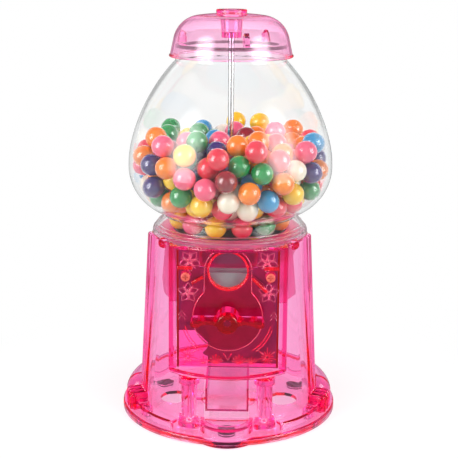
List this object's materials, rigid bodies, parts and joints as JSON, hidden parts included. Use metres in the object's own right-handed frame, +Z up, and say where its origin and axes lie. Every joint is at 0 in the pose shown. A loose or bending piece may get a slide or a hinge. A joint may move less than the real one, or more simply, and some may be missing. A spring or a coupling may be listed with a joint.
{
  "type": "gumball machine",
  "caption": "Small translucent pink gumball machine: clear globe of gumballs on a reeded round pedestal with coin window, turning wing handle, delivery tray and lift-off domed lid.",
  "frame": {"origin": "on the centre rod's axis, in the plane that the rubber feet stand on", "axes": "+Z up along the rod, -Y towards the front with the coin window and handle, +X to the right seen from the front"},
  "size_m": [0.1472, 0.1516, 0.272],
  "materials": {
    "pink_shell": "translucent hot pink, glossy",
    "pink_dark": "translucent deep pink, glossy",
    "pink_lid": "translucent light pink, glossy",
    "clear": "clear",
    "rubber": "matte black",
    "dark_plastic": "satin dark grey",
    "grey_plastic": "satin grey",
    "steel": "bright",
    "chrome": "polished",
    "screw_pink": "coral plated look",
    "gum_white": "candy shell",
    "gum_yellow": "candy shell",
    "gum_orange": "candy shell",
    "gum_coral": "candy shell",
    "gum_pink": "candy shell",
    "gum_green": "candy shell",
    "gum_blue": "candy shell",
    "gum_purple": "candy shell",
    "gum_maroon": "candy shell"
  },
  "bodies": {
    "base_body": {"pedestal": "pink_shell", "base_plate": "pink_shell", "rubber_feet": "rubber", "base_screws": "steel", "faceplate": "pink_dark", "faceplate_screws": "screw_pink", "coin_housing": "grey_plastic", "hopper": "pink_dark", "wheel_guard": "dark_plastic", "gear_bracket": "steel", "bracket_screws": "steel", "center_rod": "chrome", "rod_washer": "steel", "rod_nut": "steel", "chute": "pink_shell", "globe": "clear", "gumballs_white": "gum_white", "gumballs_yellow": "gum_yellow", "gumballs_orange": "gum_orange", "gumballs_coral": "gum_coral", "gumballs_pink": "gum_pink", "gumballs_green": "gum_green", "gumballs_blue": "gum_blue", "gumballs_purple": "gum_purple", "gumballs_maroon": "gum_maroon"},
    "handle_body": {"handle": "pink_dark", "drive_shaft": "steel", "drive_gear": "grey_plastic", "coin_wheel": "grey_plastic", "shaft_clip": "steel"},
    "wheel_body": {"gumball_wheel": "dark_plastic", "crown_gear": "dark_plastic", "pocket_gumballs": "gum_yellow"},
    "lid_body": {"lid": "pink_lid"},
    "knob_body": {"lid_knob": "pink_lid", "knob_bush": "pink_lid"},
    "plug_body": {"coin_plug": "pink_shell"}
  },
  "joints": [
    {"name": "handle_turn", "type": "hinge", "parent": "base_body", "child": "handle_body", "pos_m": [0, -0.05, 0.0786], "axis": [0, -1, 0], "continuous": true},
    {"name": "wheel_turn", "type": "hinge", "parent": "base_body", "child": "wheel_body", "pos_m": [0, 0, 0.1], "axis": [0, 0, 1], "continuous": true},
    {"name": "lid_lift", "type": "slide", "parent": "base_body", "child": "lid_body", "axis": [0, 0, 1], "range_m": [0, 0.06]},
    {"name": "knob_turn", "type": "hinge", "parent": "lid_body", "child": "knob_body", "pos_m": [0, 0, 0.268], "axis": [0, 0, 1], "continuous": true},
    {"name": "plug_twist", "type": "hinge", "parent": "base_body", "child": "plug_body", "pos_m": [0, 0, 0.003], "axis": [0, 0, 1], "range_deg": [0, 75]}
  ],
  "couplings": [
    {"joint": "wheel_turn", "follows": "handle_turn", "ratio": -0.66667}
  ]
}
